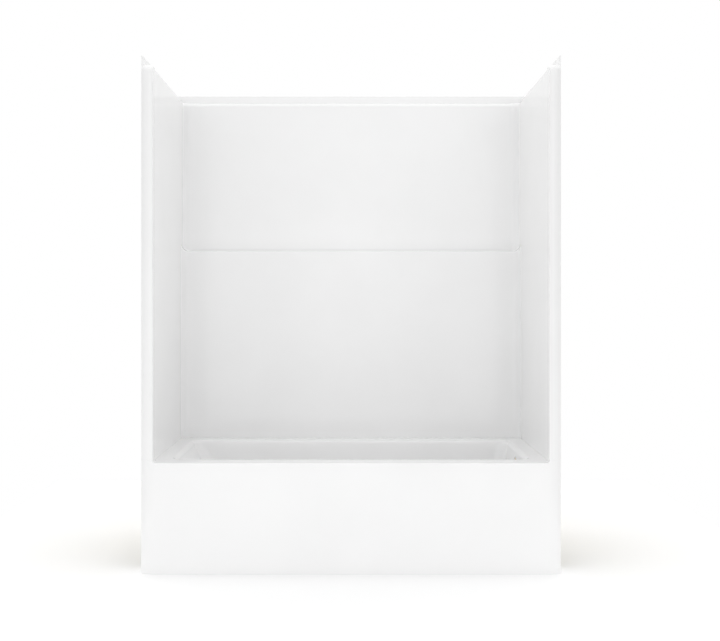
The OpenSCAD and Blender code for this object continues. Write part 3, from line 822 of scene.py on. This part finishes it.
declare(tubShell, "white_shell", "basin", "deck_and_apron")
declare(leftWallShell, "white_shell", "left_wall")
declare(rightWallShell, "white_shell", "right_wall")
declare(backWallShell, "white_shell", "back_wall")


# Timber, boards and seals
timber = {  # the axis each length lies along
    "left_runner": 1, "middle_runner": 1, "right_runner": 1, "front_deck_rail": 0, "back_deck_rail": 0,
    "left_deck_rail": 1, "right_deck_rail": 1, "left_apron_post": 2, "middle_apron_post": 2,
    "right_apron_post": 2, "left_back_post": 2, "right_back_post": 2, "shelf_rail": 0, "left_back_rib": 2,
    "right_back_rib": 2, "left_front_rib": 2, "left_rear_rib": 2, "right_front_rib": 2, "right_rear_rib": 2,
}
boards = {  # the axis through each board, and the axis of its grain
    "left_grab_board": (0, 1), "right_valve_board": (0, 2), "lower_back_board": (1, 0),
    "upper_back_board": (1, 0), "floor_board": (2, 0),
}
stripSeals = ("left_deck_seal", "right_deck_seal", "left_corner_seal", "right_corner_seal")
easing = {"timber": 1.5, "board": 0.8, "seal": 0.9}
drainCutout = 48  # radius
sealIn = {"outside": 1, "inside": 4}


def camelName(name):
    first, *rest = name.split("_")
    return first + "".join(word.capitalize() for word in rest)


def emptyPiece(name):
    made = camelName(name)
    return newPiece(made, bpy.data.meshes.new(made))


def easedBlock(name, radius, segments=2):
    # a block as large as the source's, with eased edges
    low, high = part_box(name)
    piece, work = emptyPiece(name), bmesh.new()
    bmesh.ops.create_cube(work, size=1)
    for v in work.verts:
        v.co = Vector([mix(low[i], high[i], v.co[i] + 0.5) for i in range(3)])
    bmesh.ops.bevel(work, geom=work.edges[:], offset=radius / 1000, segments=segments, profile=0.5,
                    affect="EDGES")
    work.to_mesh(piece.data)
    work.free()
    return piece


def settle(piece, name, material, slot):
    piece.data.materials.append(material)
    smooth(piece)
    declare(piece, slot, name)


def markThrough(piece, name, axis):
    # how far each point is through the board, in millimetres, for the plies on its edges
    low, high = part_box(name)
    attribute = piece.data.attributes.new("throughBoard", "FLOAT", "POINT")
    for v in piece.data.vertices:
        attribute.data[v.index].value = (v.co[axis] - low[axis]) * 1000


def floorBoard(name):
    # the drain's cut-out runs out at the board's right end
    low, high = [v * 1000 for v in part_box(name)]
    mouth = math.acos((high.x - tub["drainX"]) / drainCutout)
    arc = [(tub["drainX"] + drainCutout * math.cos(t), tub["wellMid"] + drainCutout * math.sin(t))
           for t in span(-mouth, mouth - 2 * math.pi, 40)]
    front, back = low.y + unit["depth"] / 2, high.y + unit["depth"] / 2
    outline = [(low.x, front), (high.x, front), *arc, (high.x, back), (low.x, back)]
    piece = emptyPiece(name)
    addPrism(piece, outline, low.z, high.z, place, slot=0, edge=easing["board"])
    return piece


def backSeal(name):
    piece = emptyPiece(name)
    addPrism(piece, backRing(sealIn["outside"], sealIn["inside"]), unit["deckZ"], unit["panZ"], place, slot=0,
             edge=easing["seal"])
    return piece


for name, axis in timber.items():
    settle(easedBlock(name, easing["timber"]), name, spruce[axis], "softwood")
for name, (through, grain) in boards.items():
    piece = floorBoard(name) if name == "floor_board" else easedBlock(name, easing["board"])
    markThrough(piece, name, through)
    settle(piece, name, birch[grain], "plywood")
for name in stripSeals:
    settle(easedBlock(name, easing["seal"], 3), name, foamGrey, "foam_seal")
settle(backSeal("back_deck_seal"), "back_deck_seal", foamGrey, "foam_seal")
print("timber, boards and seals made")


# Fasteners: one tree for each kind, with its sizes as inputs, sets it at every place
bolt = {"Flats": 10, "Head": 4, "Radius": 3, "Length": 23.2, "Thread": 18, "Pitch": 1, "Depth": 0.35}
washer = {"Outer": 9, "Inner": 3.3, "Thickness": 1.6, "Edge": 0.25}
nut = {"Flats": 10, "Height": 5, "Hole": 3.3}
fastener = {
    "grip": 13, "chamferShare": 0.95,
    # where the first and last of each row go, and how many gaps lie between them
    "sideX": 743, "lowZ": 470, "highZ": 1782, "gapsUp": 5, "frontD": 160, "rearD": 620.5, "gapsDeep": 3,
    "backD": 793, "backX": 664, "gapsAcross": 5,
}
deckSeamZ = (unit["deckZ"] + unit["panZ"]) / 2
upwards = span(fastener["lowZ"], fastener["highZ"], fastener["gapsUp"])
inwards = span(fastener["frontD"], fastener["rearD"], fastener["gapsDeep"])
across = span(-fastener["backX"], fastener["backX"], fastener["gapsAcross"])
cornerPlaces = [place(side * fastener["sideX"], unit["seamD"], z) for side in (-1, 1) for z in upwards]
deckPlaces = [place(side * fastener["sideX"], d, deckSeamZ) for side in (-1, 1) for d in inwards]
deckPlaces += [place(x, fastener["backD"], deckSeamZ) for x in across]


def newTree(name, sizes):
    tree = bpy.data.node_groups.new(name, "GeometryNodeTree")
    tree.interface.new_socket("Geometry", in_out="INPUT", socket_type="NodeSocketGeometry")
    for label, size in sizes.items():
        socket = tree.interface.new_socket(label, in_out="INPUT", socket_type="NodeSocketFloat")
        socket.default_value = size / 1000
    tree.interface.new_socket("Turn", in_out="INPUT", socket_type="NodeSocketVector")
    tree.interface.new_socket("Material", in_out="INPUT", socket_type="NodeSocketMaterial")
    tree.interface.new_socket("Geometry", in_out="OUTPUT", socket_type="NodeSocketGeometry")
    return tree, node(tree, "NodeGroupInput", {}).outputs


def finishTree(tree, given, solid):
    # sets the solid at every point, turned alike, as real mesh with its material
    spread = node(tree, "GeometryNodeInstanceOnPoints", {"Points": given["Geometry"], "Instance": solid,
                                                         "Rotation": given["Turn"]})
    real = node(tree, "GeometryNodeRealizeInstances", {"Geometry": spread})
    clad = node(tree, "GeometryNodeSetMaterial", {"Geometry": real, "Material": given["Material"]})
    node(tree, "NodeGroupOutput", {"Geometry": clad})


def hexSolid(tree, flats, height, bothEnds):
    # a hexagon with its corners turned off at 30 degrees
    move = "GeometryNodeTransform"
    radius = node(tree, maths, {"operation": "MULTIPLY", 0: flats, 1: 0.5 / math.cos(math.pi / 6)})
    prism = node(tree, "GeometryNodeMeshCylinder", {"Vertices": 6, "Radius": radius, "Depth": height})
    middle = node(tree, maths, {"operation": "MULTIPLY", 0: height, 1: 0.5})
    up = node(tree, "ShaderNodeCombineXYZ", {"Z": middle})
    solid = node(tree, move, {"Geometry": prism, "Translation": up})
    top = node(tree, maths, {"operation": "MULTIPLY", 0: flats, 1: 0.5 * fastener["chamferShare"]})
    bottom = node(tree, maths, {"operation": "MULTIPLY_ADD", 0: height, 1: 1 / math.tan(math.pi / 6), 2: top})
    cone = node(tree, "GeometryNodeMeshCone", {"Vertices": 48, "Radius Top": top, "Radius Bottom": bottom,
                                               "Depth": height})
    shaped = {"operation": "INTERSECT", "solver": "EXACT"}
    solid = node(tree, "GeometryNodeMeshBoolean", {**shaped, "Mesh 2": [solid, cone]})
    if bothEnds:
        whole = node(tree, "ShaderNodeCombineXYZ", {"Z": height})
        flip = node(tree, move, {"Geometry": cone, "Translation": whole, "Rotation": (math.pi, 0, 0)})
        solid = node(tree, "GeometryNodeMeshBoolean", {**shaped, "Mesh 2": [solid, flip]})
    return solid


def boltTree():
    tree, given = newTree("boltsAtPlaces", bolt)
    head = hexSolid(tree, given["Flats"], given["Head"], False)
    # the shank is a line whose radius rises and falls along the thread
    down = node(tree, maths, {"operation": "MULTIPLY", 0: given["Length"], 1: -1.0})
    end = node(tree, "ShaderNodeCombineXYZ", {"Z": down})
    line = node(tree, "GeometryNodeCurvePrimitiveLine", {"End": end})
    step = node(tree, maths, {"operation": "MULTIPLY", 0: given["Pitch"], 1: 0.25})
    fine = node(tree, "GeometryNodeResampleCurve", {"mode": "LENGTH", "Curve": line, "Length": step})
    run = node(tree, "GeometryNodeSplineParameter", {}).outputs["Length"]
    turns = node(tree, maths, {"operation": "DIVIDE", 0: run, 1: given["Pitch"]})
    groove = node(tree, maths, {"operation": "PINGPONG", 0: turns, 1: 0.5})
    plain = node(tree, maths, {"operation": "SUBTRACT", 0: given["Length"], 1: given["Thread"]})
    threaded = node(tree, maths, {"operation": "GREATER_THAN", 0: run, 1: plain})
    shape = node(tree, maths, {"operation": "MULTIPLY", 0: groove, 1: threaded})
    twice = node(tree, maths, {"operation": "MULTIPLY", 0: given["Depth"], 1: 2.0})
    depth = node(tree, maths, {"operation": "MULTIPLY", 0: shape, 1: twice})
    radius = node(tree, maths, {"operation": "SUBTRACT", 0: given["Radius"], 1: depth})
    profile = node(tree, "GeometryNodeCurvePrimitiveCircle", {"Resolution": 24, "Radius": 1.0})
    shank = node(tree, "GeometryNodeCurveToMesh", {"Curve": fine, "Profile Curve": profile, "Scale": radius,
                                                   "Fill Caps": True})
    finishTree(tree, given, node(tree, "GeometryNodeJoinGeometry", {"Geometry": [head, shank]}))
    return tree


def washerTree():
    tree, given = newTree("washersAtPlaces", washer)
    both = node(tree, maths, {"operation": "ADD", 0: given["Outer"], 1: given["Inner"]})
    radius = node(tree, maths, {"operation": "MULTIPLY", 0: both, 1: 0.5})
    wide = node(tree, maths, {"operation": "SUBTRACT", 0: given["Outer"], 1: given["Inner"]})
    path = node(tree, "GeometryNodeCurvePrimitiveCircle", {"Resolution": 48, "Radius": radius})
    across = {"Width": wide, "Height": given["Thickness"]}
    section = node(tree, "GeometryNodeCurvePrimitiveQuadrilateral", across)
    rounded = node(tree, "GeometryNodeFilletCurve", {"mode": "POLY", "Count": 2, "Curve": section,
                                                     "Radius": given["Edge"]})
    ring = node(tree, "GeometryNodeCurveToMesh", {"Curve": path, "Profile Curve": rounded})
    finishTree(tree, given, ring)
    return tree


def nutTree():
    tree, given = newTree("nutsAtPlaces", nut)
    solid = hexSolid(tree, given["Flats"], given["Height"], True)
    long = node(tree, maths, {"operation": "MULTIPLY", 0: given["Height"], 1: 3.0})
    bore = node(tree, "GeometryNodeMeshCylinder", {"Vertices": 32, "Radius": given["Hole"], "Depth": long})
    bored = {"operation": "DIFFERENCE", "solver": "EXACT", "Mesh 1": solid, "Mesh 2": bore}
    finishTree(tree, given, node(tree, "GeometryNodeMeshBoolean", bored))
    return tree


def setAtPlaces(name, tree, places, turn, sizes):
    piece = emptyPiece(name)
    piece.data.from_pydata(places, [], [])
    modifier = piece.modifiers.new("places", "NODES")
    modifier.node_group = tree
    settings = {label: size / 1000 for label, size in sizes.items()}
    settings |= {"Turn": turn, "Material": zincBright}
    for item in tree.interface.items_tree:
        if item.in_out == "INPUT" and item.name in settings:
            modifier[item.identifier] = settings[item.name]
    bakeModifiers(piece)
    smooth(piece, 25)
    declare(piece, "zinc_steel", name)


def stackUp(places, axis, offset):
    return [p + Vector(axis) * (offset / 1000) for p in places]


def fastenRow(group, places, axis, turn):
    # a bolt, two washers and a nut at each place, stacked along the axis from the middle of the joint
    pressed = fastener["grip"] / 2 + washer["Thickness"] / 2
    seat = fastener["grip"] / 2 + washer["Thickness"]
    setAtPlaces(group + "_bolts", bolts, stackUp(places, axis, seat), turn, bolt)
    pairs = stackUp(places, axis, pressed) + stackUp(places, axis, -pressed)
    setAtPlaces(group + "_washers", washers, pairs, turn, washer)
    setAtPlaces(group + "_nuts", nuts, stackUp(places, axis, -seat - nut["Height"]), turn, nut)


bolts, washers, nuts = boltTree(), washerTree(), nutTree()
fastenRow("corner", cornerPlaces, (0, 1, 0), (-math.pi / 2, 0, 0))
fastenRow("deck", deckPlaces, (0, 0, 1), (0, 0, 0))
print("fasteners made")


# Floor and light: a white tent with a glow in front and a soft box on each side of the camera. Its ends
# are brighter above and dimmer low down and far out, and behind the insert its wall is brighter high up.
studio = {
    "floor": "#fcfcfc", "floorHalf": 1.6, "front": 0.875, "least": 0.45, "behind": 1.0, "behindHigh": 2.4,
    "glowWide": 0.4, "glowNarrow": 0.2, "endsLow": -0.8, "ends": 0.6, "left": 0.08, "boxes": 0.7,
    "roof": 0.28, "outer": -0.7, "dip": -0.6,
}


def floorPaper():
    mesh, r = bpy.data.meshes.new("studioFloor"), studio["floorHalf"]
    mesh.from_pydata([(-r, -r, 0), (r, -r, 0), (r, r, 0), (-r, r, 0)], [], [(0, 1, 2, 3)])
    mesh.materials.append(newMaterial("matt white studio floor", studio["floor"], 0.9)[0])
    newPiece("studioFloor", mesh)


floorPaper()


def tent():
    world = bpy.data.worlds.new("studio")
    bpy.context.scene.world = world
    world.use_nodes = True
    tree = world.node_tree
    towards = node(tree, "ShaderNodeTexCoord", {}).outputs["Generated"]
    x, y, z = node(tree, "ShaderNodeSeparateXYZ", {"Vector": towards}).outputs
    sideways = node(tree, maths, {"operation": "ABSOLUTE", 0: x})
    upwards = node(tree, maths, {"operation": "ABSOLUTE", 0: z})
    step = {"interpolation_type": "SMOOTHSTEP"}
    front = studio["front"]
    for name, *limits in tentParts(sideways, upwards, x, y, z):
        part = studio[name]
        for along, start, stop, low, high in limits:
            soft = node(tree, "ShaderNodeMapRange", {**step, "Value": along, "From Min": start,
                                                     "From Max": stop, "To Min": low, "To Max": high})
            part = node(tree, maths, {"operation": "MULTIPLY", 0: part, 1: soft})
        front = node(tree, maths, {"operation": "ADD", 0: front, 1: part})
    front = node(tree, maths, {"operation": "MAXIMUM", 0: front, 1: studio["least"]})
    turned = node(tree, "ShaderNodeMapRange", {**step, "Value": y, "From Min": 0.5, "From Max": 0.85})
    backdrop = node(tree, "ShaderNodeMapRange", {**step, "Value": z, "From Min": 0.3, "From Max": 0.7,
                                                 "To Min": studio["behind"], "To Max": studio["behindHigh"]})
    around = node(tree, "ShaderNodeMix", {"Factor": turned, "A": front, "B": backdrop})
    tree.links.new(around.outputs[0], tree.nodes["Background"].inputs["Strength"])
    tree.nodes["Background"].inputs["Color"].default_value = (1, 1, 1, 1)


def tentParts(sideways, upwards, x, y, z):
    # each part of the light is a product of soft steps: along what, from where to where, and from which
    # share to which
    return [
        ("glowWide", (sideways, 0, 0.7, 1, 0), (upwards, 0, 0.6, 1, 0)),
        ("glowNarrow", (sideways, 0, 0.35, 1, 0), (upwards, 0, 0.35, 1, 0)),
        ("endsLow", (sideways, 0.25, 1, 0, 1), (z, 0, 0.5, 1, 0)),
        ("ends", (sideways, 0.25, 1, 0, 1)),
        ("left", (x, -1, -0.2, 1, 0)),
        ("boxes", (sideways, 0.46, 0.54, 0, 1), (sideways, 0.6, 0.68, 1, 0), (z, -0.1, 0, 0, 1),
         (z, 0.45, 0.6, 1, 0)),
        ("roof", (z, 0.4, 1, 0, 1)),
        ("outer", (sideways, 0.6, 0.9, 0, 1), (y, -0.6, -0.2, 0, 1), (z, 0.3, 0.7, 1, 0)),
        ("dip", (sideways, 0.1, 0.75, 1, 0), (z, 0.15, 0.4, 0, 1), (z, 0.55, 0.8, 1, 0)),
    ]


tent()
bpy.context.scene.view_settings.view_transform = "Standard"
print("studio made")
